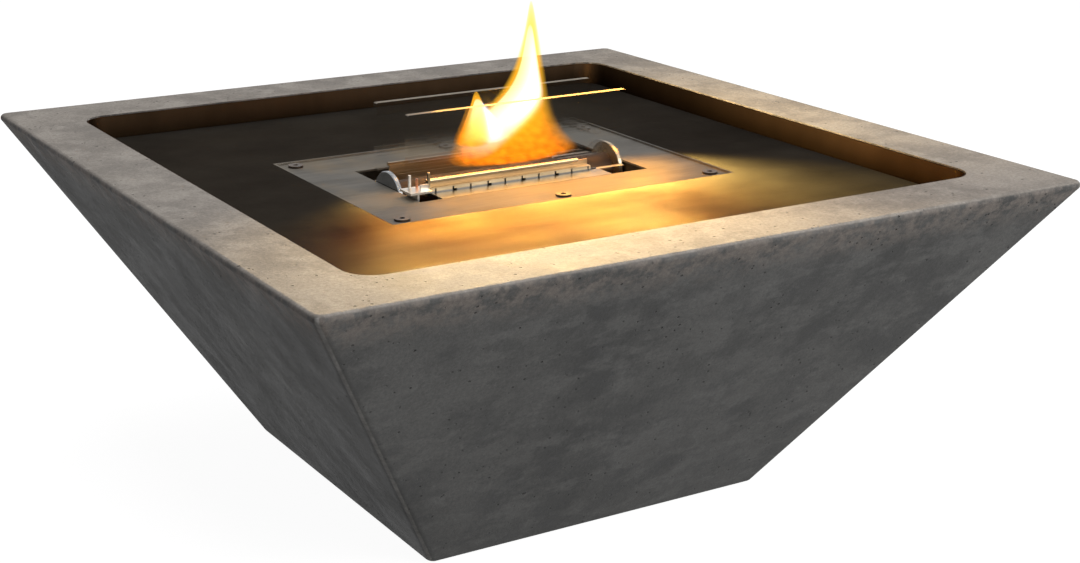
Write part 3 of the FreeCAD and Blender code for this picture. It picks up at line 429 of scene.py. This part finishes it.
# Fire panel. A flat square of sheet steel that lies on the liner's flange, with a cut-out for
# the tray. Its dark bronze powder coat has a fine grain.
PANEL_COLOUR = ((0.019, 0.0165, 0.014), (0.034, 0.030, 0.025))
PANEL_GLANCE = (0.39, 0.38, 0.37, 1.0)


def finish_panel():
    """Dark bronze coat with a fine grain that scatters reflections into a sparkle."""
    panel = Finish("panel_coat", Metallic=1.0, Specular_Tint=PANEL_GLANCE)
    haze = panel.noise(7.0, detail=5.0)
    grain = panel.noise(1500.0, detail=2.0, rough=0.8)
    wipes = panel.noise(26.0, detail=5.0, stretch=(0.35, 1.6, 1.0))
    share = panel.math("ADD", panel.math("MULTIPLY", haze, 0.6), panel.math("MULTIPLY", grain, 0.4))
    panel.colour(panel.blend(panel.spread(share, 0.35, 0.65), *PANEL_COLOUR))
    panel.rough(panel.spread(wipes, 0.3, 0.7, 0.60, 0.68))
    panel.relief((grain, 0.00012), (haze, 0.0004))
    panel.dress("fire_panel")


finish_panel()

# Frame under the tray. A flat frame of the same zinc-coated steel as the base cover laps under
# the panel's cut-out, and the tray is screwed down to it.
zinc.dress("burner_frame")

# Burner tray. A shallow pressing of brushed stainless sheet with an upturned edge and a slot;
# its grain runs along the burner, and the flame's heat has tinted it straw in places.
STEEL = ((0.105, 0.100, 0.092), (0.160, 0.152, 0.140))
brushed("tray_steel", *STEEL, roughness=(0.52, 0.60), straw=0.3, edge=0.5).dress("burner_tray")

# Comb strip. A narrow folded strip of stainless sheet closes the front of the slot: its ledge
# lies level with the tray, and its upright face is slit like a comb, so that it can warm and
# stretch. The upright face stands in the flame's light, which is painted into its brighter golden colour.
FLAME_LIT_BRIGHT = ((0.34, 0.25, 0.14), (0.56, 0.44, 0.28))
COMB_RISE = (-0.0012, 0.0002)


def finish_comb():
    """The tray's brushed sheet on the ledge, brightened up the comb with painted flame light."""
    strip = brushed("strip_steel", *FLAME_LIT_BRIGHT, roughness=(0.24, 0.36), straw=0.35)
    flame_lit = strip.shader.inputs["Base Color"].links[0].from_socket
    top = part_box("burner_tray")[1][2]
    # Painted flame light: the upright face takes the bright golden colour, the ledge the tray's plain steel.
    rise = strip.spread(strip.axes()[2], *(top + height for height in COMB_RISE))
    strip.colour(strip.blend(rise, STEEL[1], flame_lit))
    strip.dress("comb_strip")


finish_comb()

# Tray screws. Six stainless socket screws hold the tray to the frame below it; their heads are
# browned by the heat.
SCREW = ((0.035, 0.024, 0.017), (0.095, 0.070, 0.052))


def finish_tray_screws():
    """Heat-browned screw steel."""
    heads = Finish("tray_screw_steel", Metallic=0.9)
    stain = heads.noise(300.0, detail=5.0)
    heads.colour(heads.blend(heads.spread(stain, 0.35, 0.65), *SCREW))
    heads.rough(heads.spread(stain, 0.3, 0.7, 0.32, 0.5))
    heads.relief((stain, 0.0001))
    heads.dress("tray_screws")


finish_tray_screws()

# Trough. The open box under the slot catches spills and carries the burner; it is thin steel,
# blackened by soot, with a flange against the tray.
SOOT = ((0.010, 0.009, 0.008), (0.055, 0.048, 0.040))


def finish_soot():
    """Heat-blackened steel with soft patches of soot."""
    soot = Finish("sooty_steel", Metallic=0.6)
    patch = soot.noise(40.0, detail=6.0)
    soot.colour(soot.blend(soot.spread(patch, 0.35, 0.65), *SOOT))
    soot.rough(soot.spread(patch, 0.3, 0.7, 0.5, 0.75))
    soot.relief((soot.noise(500.0), 0.00015))
    soot.dress("burner_trough")


finish_soot()

# Saddles and mixer tube. Two upright plates in the trough carry the burner in their round seats,
# and an upright tube with air windows feeds it from below. All are zinc-coated steel.
zinc.dress("saddle_left", "saddle_right", "mixer_tube")

# Burner tube. A stainless tube with two rows of small ports along its top; running hot has
# turned it brown and blue, darkest along the ports.
TUBE_DARK = (0.022, 0.016, 0.013)
TUBE_BRONZE = (0.150, 0.085, 0.040)
TUBE_BLUE = (0.060, 0.060, 0.090)


def finish_tube():
    """Heat-tinted steel: bronze low down, blue patches, and soot along the ports."""
    tube = Finish("burner_tube_steel", Metallic=0.9)
    low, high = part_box("burner_tube")
    rise = tube.spread(tube.axes()[2], low[2], high[2])
    patch = tube.noise(55.0, detail=5.0, stretch=(0.5, 1.0, 1.0))
    tint = tube.blend(tube.spread(patch, 0.42, 0.60), TUBE_BRONZE, TUBE_BLUE)
    sooty = tube.math("MULTIPLY", tube.spread(rise, 0.45, 0.95), tube.spread(patch, 0.2, 0.6, 0.6, 1.0))
    tube.colour(tube.blend(sooty, tint, TUBE_DARK))
    tube.rough(tube.spread(sooty, 0.0, 1.0, 0.30, 0.62))
    tube.relief((tube.noise(700.0), 0.0001))
    tube.dress("burner_tube")


finish_tube()

# End caps. Two turned stainless discs close the burner tube. The left one stays grey, and the
# right one, facing the flame beside it, is painted golden brown with its light over a straw heat tint.
CAP_GRAIN = 1400.0
CAP_LEFT = ((0.20, 0.21, 0.22), (0.34, 0.35, 0.36))
CAP_RIGHT_FLAME_LIT = ((0.34, 0.25, 0.16), (0.70, 0.58, 0.42))
left_cap = brushed("left_cap_steel", *CAP_LEFT, roughness=(0.18, 0.28), grain=CAP_GRAIN)
left_cap.dress("burner_cap_left")
# Painted flame light: the right cap's golden brown stands in for the flame's light on it; the straw share is
# heat tint.
right_cap = brushed("right_cap_steel", *CAP_RIGHT_FLAME_LIT, roughness=(0.20, 0.30), grain=CAP_GRAIN, straw=0.6)
right_cap.dress("burner_cap_right")

# Glass channels and bars. Each pane stands in a folded stainless channel with a slim bar along
# its top. The channels and the back bar are painted bronze with the flame's light over a faint
# heat tint; the front bar and its clip are painted bright with the flame's light.
FLAME_LIT_BRONZE = ((0.20, 0.12, 0.06), (0.44, 0.29, 0.15))
# Painted flame light: the channels' bronze colour stands in for the flame's light on them; the straw share is
# heat tint.
channels = brushed("channel_steel", *FLAME_LIT_BRONZE, roughness=(0.28, 0.42), straw=0.6)
channels.dress("glass_channel_front", "glass_channel_back")
# Painted flame light and highlight: the front bar and its clip take the bright golden steel colour.
brushed("bar_steel", *FLAME_LIT_BRIGHT, roughness=(0.16, 0.26), straw=0.2).dress("front_bar", "bar_clip")
# Painted flame light: the back bar's bronze colour stands in for the flame's light on it.
brushed("back_bar_steel", *FLAME_LIT_BRONZE, roughness=(0.26, 0.38), straw=0.5).dress("back_bar")

# Glass panes. Two pieces of clear 5 mm toughened glass slide down into the channels and shield
# the flame from wind; their top edges are ground, and painted pale and warm with the flame's light.
GLASS_TINT = (0.93, 0.95, 0.93)
GLASS_SMUDGE = (0.75, 0.75, 0.72)
GROUND_EDGE_FLAME_LIT = (0.30, 0.265, 0.215)
GLASS_ALPHA = 0.30


def finish_glass():
    """Clear glass whose top edge is ground to a frosted band, painted pale and warm as the flame's light."""
    glass = Finish("clear_glass", IOR=1.12)
    top = glass.spread(glass.facing()[2], 0.4, 0.8)
    smudge = glass.noise(45.0, detail=6.0)
    tint = glass.blend(glass.spread(smudge, 0.4, 0.7, 0.0, 0.08), GLASS_TINT, GLASS_SMUDGE)
    # Painted flame light: the ground top edge, facing up, takes a pale warm colour.
    glass.colour(glass.blend(top, tint, GROUND_EDGE_FLAME_LIT))
    glass.join(glass.spread(top, 0.0, 1.0, 1.0, 0.15), glass.shader.inputs["Transmission Weight"])
    end = glass.spread(glass.math("ABSOLUTE", glass.facing()[0]), 0.4, 0.8, GLASS_ALPHA, 0.0)
    glass.join(glass.spread(top, 0.0, 1.0, end, 0.95), glass.shader.inputs["Alpha"])
    glass.rough(glass.spread(top, 0.0, 1.0, 0.02, 0.45))
    glass.dress("glass_pane_front", "glass_pane_back")


finish_glass()

# Ignition bracket and hood. A folded stainless bracket stands at the burner's left end; on it
# is a small upright plate that shelters the pilot flame.
BRACKET = ((0.46, 0.43, 0.39), (0.66, 0.63, 0.58))
HOOD = ((0.42, 0.37, 0.32), (0.60, 0.53, 0.46))
brushed("bracket_steel", *BRACKET, roughness=(0.24, 0.36)).dress("ignition_bracket")
brushed("hood_steel", *HOOD, roughness=(0.30, 0.42)).dress("pilot_hood")

# Spark electrode. A slim post of white glazed ceramic that stands on the ignition bracket; the
# flame beside it has stained it in patches.
CERAMIC = ((0.62, 0.58, 0.50), (0.82, 0.79, 0.72))


def finish_ceramic():
    """Glazed ceramic, browned in patches by the flame."""
    ceramic = Finish("electrode_ceramic", Roughness=0.3, Coat_Weight=0.4, Coat_Roughness=0.1)
    stain = ceramic.noise(500.0, detail=4.0)
    ceramic.colour(ceramic.blend(ceramic.spread(stain, 0.4, 0.7), CERAMIC[1], CERAMIC[0]))
    ceramic.relief((stain, 0.00005))
    ceramic.dress("spark_electrode")


finish_ceramic()

# Flame sensor and supply pipe. Both are copper: a thin post on the bracket that warms in the
# flame, and the bent gas pipe from the valve up into the injector.
COPPER = ((0.40, 0.16, 0.08), (0.78, 0.38, 0.22))
brushed("sensor_copper", *COPPER, roughness=(0.3, 0.4), along=ALL_WAYS).dress("flame_sensor")
pipe_copper = brushed("pipe_copper", *COPPER, roughness=(0.22, 0.38), grain=400.0, along=ALL_WAYS)
pipe_copper.dress("supply_pipe")

# Injector, valve body and plunger. They are machined from brass: the valve meters the gas, and
# the injector in the mixer tube's neck sprays it into the air drawn in.
BRASS = ((0.42, 0.27, 0.09), (0.78, 0.57, 0.25))
valve_brass = brushed("valve_brass", *BRASS, roughness=(0.24, 0.40), along=(1.0, 1.0, 0.2))
valve_brass.dress("gas_injector", "valve_body", "valve_plunger")

# Gas inlet. A turned brass fitting that goes through the control plate into the valve. Outside
# the plate it has a hexagon, and a thread for a gas hose at its end.
THREAD_PITCH = 0.0018
THREAD_DEPTH = 0.0007
THREAD_START = 0.002


def finish_inlet():
    """Brass with a patina, and the thread's turns as relief outside the plate."""
    thread = Finish("inlet_brass", Metallic=1.0)
    patina = thread.noise(160.0, detail=5.0)
    thread.colour(thread.blend(thread.spread(patina, 0.35, 0.65), *BRASS))
    thread.rough(thread.spread(patina, 0.3, 0.7, 0.24, 0.4))
    plate_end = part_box("control_plate")[1][1]
    outside = thread.spread(thread.axes()[1], plate_end, plate_end + THREAD_START)
    turns = thread.waves(1.0 / THREAD_PITCH, "Y")
    thread.relief((thread.math("MULTIPLY", turns, outside), THREAD_DEPTH))
    thread.dress("inlet_fitting")


finish_inlet()

# Control plate. A plate of sheet steel with round corners, powder-coated black and screwed to
# the sloping back face; the spindle, igniter and inlet pass through its holes.
PLATE_BLACK = ((0.010, 0.010, 0.010), (0.024, 0.024, 0.025))


def finish_plate():
    """Black powder coat with its orange-peel skin."""
    coat = Finish("plate_coat", Specular_IOR_Level=0.4)
    grain = coat.noise(1100.0, detail=3.0)
    coat.colour(coat.blend(coat.spread(grain, 0.35, 0.65), *PLATE_BLACK))
    coat.rough(coat.spread(grain, 0.3, 0.7, 0.45, 0.62))
    coat.relief((grain, 0.00018), (coat.noise(260.0), 0.0003))
    coat.dress("control_plate")


finish_plate()

# Spindle and knob. A stainless spindle turns in the valve, and a moulded black plastic knob with
# a white pointer groove and a ribbed grip is fixed on it by the grub screw.
spindle_steel = brushed("spindle_steel", *PLAIN_STEEL, roughness=(0.2, 0.3), along=ALL_WAYS)
spindle_steel.dress("valve_spindle")
KNOB_BLACK = ((0.014, 0.014, 0.015), (0.030, 0.030, 0.031))
POINTER_WHITE = (0.75, 0.75, 0.73)
GRIP_RADIUS = 0.016
GRIP_RIBS = 36.0
GRIP_BAND = 0.0006
RIB_DEPTH = 0.0007
GROOVE_HALF = 0.0012
GROOVE_LEVEL = 0.023
GROOVE_MARGIN = 0.00036


def knob_axes(knob):
    """The knob's coordinates across, along and out from the face that it stands on."""
    turn = next(joint for joint in frame["joints"] if joint["name"] == "knob_turn")
    tilt = math.atan2(-turn["axis"][2], turn["axis"][1]) + math.pi / 2
    mapping = knob.tree.nodes.new("ShaderNodeMapping")
    mapping.inputs["Rotation"].default_value = (tilt, 0.0, 0.0)
    mapping.inputs["Location"].default_value = -(Matrix.Rotation(tilt, 3, "X") @ Vector(turn["pos_m"]))
    knob.tree.links.new(knob.object, mapping.inputs["Vector"])
    return knob.axes(mapping.outputs["Vector"])


def finish_knob():
    """Black plastic, with a white floor in its groove and ribs round its grip."""
    knob = Finish("knob_plastic", Specular_IOR_Level=0.4)
    across, along, out = knob_axes(knob)
    spark = knob.noise(1600.0, detail=2.0)
    black = knob.blend(knob.spread(spark, 0.35, 0.65), *KNOB_BLACK)
    inside = knob.math("LESS_THAN", knob.math("ABSOLUTE", across), 1.05 * GROOVE_HALF)
    within = knob.math("LESS_THAN", knob.math("ABSOLUTE", along), 0.99 * GRIP_RADIUS)
    level = knob.math("ABSOLUTE", knob.math("SUBTRACT", out, GROOVE_LEVEL))
    floor = knob.math("LESS_THAN", level, GROOVE_MARGIN)
    groove = knob.math("MULTIPLY", knob.math("MULTIPLY", inside, within), floor)
    knob.colour(knob.blend(groove, black, POINTER_WHITE))
    knob.rough(knob.spread(spark, 0.3, 0.7, 0.42, 0.55))
    squares = [knob.math("MULTIPLY", part, part) for part in (across, along)]
    reach = knob.math("POWER", knob.math("ADD", *squares), 0.5)
    side = knob.math("LESS_THAN", knob.math("ABSOLUTE", knob.math("SUBTRACT", reach, GRIP_RADIUS)), GRIP_BAND)
    turn = knob.math("MULTIPLY", knob.math("ARCTAN2", along, across), GRIP_RIBS)
    ribs = knob.math("MULTIPLY", knob.math("SINE", turn), side)
    knob.relief((ribs, RIB_DEPTH), (spark, 0.00008))
    knob.dress("control_knob")


finish_knob()

# Igniter. A moulded black plastic barrel goes through the control plate; its flange rests on the
# plate, and a plastic nut behind the plate holds it.


def finish_igniter():
    """Black plastic with a fine spark texture."""
    plastic = Finish("igniter_plastic", Specular_IOR_Level=0.4)
    spark = plastic.noise(1600.0, detail=2.0)
    plastic.colour(plastic.blend(plastic.spread(spark, 0.35, 0.65), *KNOB_BLACK))
    plastic.rough(plastic.spread(spark, 0.3, 0.7, 0.42, 0.55))
    plastic.relief((spark, 0.00008))
    plastic.dress("igniter_body", "igniter_nut")


finish_igniter()

# Igniter button. A glossy red moulded button that travels in the igniter's barrel; its crown
# is rounded for the finger.
BUTTON_RED = ((0.30, 0.012, 0.008), (0.46, 0.022, 0.015))


def finish_button():
    """Red plastic with faint flow marks under a gloss skin."""
    button = Finish("button_plastic", Coat_Weight=0.5, Coat_Roughness=0.12)
    flow = button.noise(140.0, detail=4.0)
    button.colour(button.blend(button.spread(flow, 0.35, 0.65), *BUTTON_RED))
    button.rough(button.spread(flow, 0.3, 0.7, 0.24, 0.36))
    button.relief((flow, 0.0001))
    button.dress("igniter_button")


finish_button()

# Flame. It isn't a piece of the product: it stands on the stage to show the burner alight, as
# in the photograph. Amber tongues, wispy and redder low down, hold cores that burn them white.
FLAME_SKIN = {
    "depth": 0.013, "stain": (0.85, 0.62, 0.0), "density": 260.0, "ember": (1.0, 0.30, 0.02),
    "colour": (1.0, 0.53, 0.04), "glow": 155.0, "dim": 0.75,
}
FLAME_CORE = {
    "depth": 0.0125, "stain": (1.0, 1.0, 1.0), "density": 0.0, "ember": (0.40, 0.62, 1.0),
    "colour": (0.40, 0.62, 1.0), "glow": 235.0, "dim": 0.0,
}
FLAME_MAIN = (
    (0.239, -0.052, 0.080), (0.252, -0.047, 0.064), (0.266, -0.039, 0.051), (0.280, -0.023, 0.044),
    (0.294, -0.003, 0.041), (0.310, 0.008, 0.038), (0.326, 0.015, 0.0345), (0.343, 0.020, 0.031),
    (0.364, 0.024, 0.026),
)
FLAME_SIDE = (
    (0.256, -0.045, -0.004), (0.268, -0.038, -0.007), (0.279, -0.032, -0.011), (0.289, -0.027, -0.0165),
    (0.299, -0.0235, -0.0215),
)
CORE_MAIN = (
    (0.246, -0.044, -0.008), (0.258, -0.037, 0.010), (0.268, -0.032, 0.024), (0.278, -0.022, 0.034),
    (0.289, -0.002, 0.039), (0.304, 0.012, 0.035), (0.322, 0.018, 0.031), (0.346, 0.023, 0.026),
)
CORE_SIDE = (
    (0.258, -0.036, 0.014), (0.267, -0.033, 0.006), (0.276, -0.030, -0.004), (0.285, -0.0265, -0.013),
    (0.293, -0.0235, -0.0190),
)
FLAME_SIDES = 20
FLAME_RISE = (0.244, 0.292)
FLAME_WISPS = 210.0
WISP_RANGE = (0.35, 0.65)
WISP_LEVELS = (0.4, 1.7)


def tongue_mesh(name, rows, depth):
    """A closed shape through level rings whose two ends are drawn out thin.

    Each row is a height and the ring's left and right ends."""
    shape = bmesh.new()
    rings = []
    widest = max(right - left for _, left, right in rows)
    for height, left, right in rows:
        half, middle = (right - left) / 2, (left + right) / 2
        thick = depth * math.sqrt(2 * half / widest)
        turns = [2 * math.pi * step / FLAME_SIDES for step in range(FLAME_SIDES)]
        ring = [(middle + half * math.cos(turn), thick * math.sin(turn) ** 3, height) for turn in turns]
        rings.append([shape.verts.new(spot) for spot in ring])
    for lower, upper in zip(rings, rings[1:]):
        for step in range(FLAME_SIDES):
            after = (step + 1) % FLAME_SIDES
            shape.faces.new((lower[step], lower[after], upper[after], upper[step]))
    shape.faces.new(list(reversed(rings[0])))
    shape.faces.new(rings[-1])
    mesh = bpy.data.meshes.new(name)
    shape.to_mesh(mesh)
    shape.free()
    return mesh


def ranged(tree, value, given, wanted, kind="LINEAR"):
    """A value's range mapped onto another, and held at its ends."""
    node = tree.nodes.new("ShaderNodeMapRange")
    node.interpolation_type = kind
    tree.links.new(value, node.inputs["Value"])
    for socket, limit in zip(("From Min", "From Max", "To Min", "To Max"), (*given, *wanted)):
        node.inputs[socket].default_value = limit
    return node.outputs["Result"]


def gas_glow(tree, ember, colour, glow, dim):
    """Light from the gas: ember-coloured and wispy low down, and even above."""
    spot = tree.nodes.new("ShaderNodeTexCoord").outputs["Object"]
    place = tree.nodes.new("ShaderNodeSeparateXYZ")
    tree.links.new(spot, place.inputs[0])
    rise = ranged(tree, place.outputs["Z"], FLAME_RISE, (0.0, 1.0), "SMOOTHSTEP")
    tint = tree.nodes.new("ShaderNodeMix")
    tint.data_type = "RGBA"
    tree.links.new(rise, tint.inputs["Factor"])
    tint.inputs[6].default_value = (*ember, 1.0)
    tint.inputs[7].default_value = (*colour, 1.0)
    wisps = tree.nodes.new("ShaderNodeTexNoise")
    wisps.inputs["Scale"].default_value = FLAME_WISPS
    wisps.inputs["Detail"].default_value = 5.0
    tree.links.new(spot, wisps.inputs["Vector"])
    level = tree.nodes.new("ShaderNodeMix")
    tree.links.new(rise, level.inputs["Factor"])
    thin = ranged(tree, wisps.outputs["Fac"], WISP_RANGE, [dim * share for share in WISP_LEVELS])
    tree.links.new(thin, level.inputs[2])
    level.inputs[3].default_value = 1.0
    strength = tree.nodes.new("ShaderNodeMath")
    strength.operation = "MULTIPLY"
    strength.inputs[1].default_value = glow
    tree.links.new(level.outputs[0], strength.inputs[0])
    light = tree.nodes.new("ShaderNodeEmission")
    tree.links.new(tint.outputs[2], light.inputs["Color"])
    tree.links.new(strength.outputs[0], light.inputs["Strength"])
    return light.outputs[0]


def gas_material(name, stain, density, **light):
    """Glowing gas that also stains what is seen through it."""
    gas = bpy.data.materials.new(name)
    gas.use_nodes = True
    tree = gas.node_tree
    tree.nodes.remove(tree.nodes["Principled BSDF"])
    veil = tree.nodes.new("ShaderNodeVolumeAbsorption")
    veil.inputs["Color"].default_value = (*stain, 1.0)
    veil.inputs["Density"].default_value = density
    both = tree.nodes.new("ShaderNodeAddShader")
    tree.links.new(gas_glow(tree, **light), both.inputs[0])
    tree.links.new(veil.outputs[0], both.inputs[1])
    tree.links.new(both.outputs[0], tree.nodes["Material Output"].inputs["Volume"])
    return gas


def add_flame_tongue(name, rows, depth, **gas):
    """A tongue of gas that the camera and the glass see, and that casts no light or shadow itself."""
    mesh = tongue_mesh(name, rows, depth)
    mesh.materials.append(gas_material(name, **gas))
    flame = bpy.data.objects.new(name, mesh)
    bpy.context.collection.objects.link(flame)
    flame.modifiers.new("smooth", "SUBSURF").render_levels = 2
    flame.visible_diffuse = False
    flame.visible_glossy = False
    flame.visible_shadow = False


add_flame_tongue("flame_main", FLAME_MAIN, **FLAME_SKIN)
add_flame_tongue("flame_side", FLAME_SIDE, **FLAME_SKIN)
add_flame_tongue("core_main", CORE_MAIN, **FLAME_CORE)
add_flame_tongue("core_side", CORE_SIDE, **FLAME_CORE)

# Light of the flame. Lamps at the flame's place throw its warm light; three of them light only
# named pieces, because in the photograph the panel and the lip glow more than the steel does.
GLOW_COLOUR = (1.0, 0.45, 0.06)
GLOW_PANEL_COLOUR = (1.0, 0.72, 0.22)
GLOW_LIP_COLOUR = (1.0, 0.72, 0.34)
GLOW_FRONT = {
    "place": (0.044, -0.006, 0.290), "aim": (-0.01, -0.30, 0.14), "energy": 0.60,
    "shape": "RECTANGLE", "size": 0.20, "size_y": 0.06, "spread": math.radians(140),
}
GLOW_PANEL = {
    "place": (0.022, -0.020, 0.290), "aim": (-0.010, -0.30, 0.14), "energy": 19.0,
    "lights": ("fire_panel",), "shape": "RECTANGLE", "size": 0.24, "size_y": 0.06,
    "spread": math.radians(112),
}
GLOW_BEAM = {"shadow_soft_size": 0.03, "spot_blend": 1.0, "lights": ("bowl", "liner_frame")}
GLOW_LIP = {
    "place": (-0.01, -0.03, 0.345), "aim": (-0.095, -0.275, 0.255), "energy": 12.0,
    "spot_size": math.radians(116),
}
GLOW_RIGHT = {
    "place": (0.03, 0.0, 0.318), "aim": (0.27, 0.01, 0.258), "energy": 11.5,
    "spot_size": math.radians(112),
}
GLOW_CORE = {
    "place": (0.02, 0.0, 0.285), "aim": (0.02, 0.0, 0.0), "energy": 0.20, "shadow_soft_size": 0.012,
}
add_lamp("glow_front", "AREA", color=GLOW_COLOUR, **GLOW_FRONT)
add_lamp("glow_panel", "AREA", color=GLOW_PANEL_COLOUR, **GLOW_PANEL)
add_lamp("glow_lip", "SPOT", color=GLOW_LIP_COLOUR, **GLOW_LIP, **GLOW_BEAM)
add_lamp("glow_right", "SPOT", color=GLOW_LIP_COLOUR, **GLOW_RIGHT, **GLOW_BEAM)
add_lamp("glow_core", "POINT", color=GLOW_COLOUR, **GLOW_CORE)
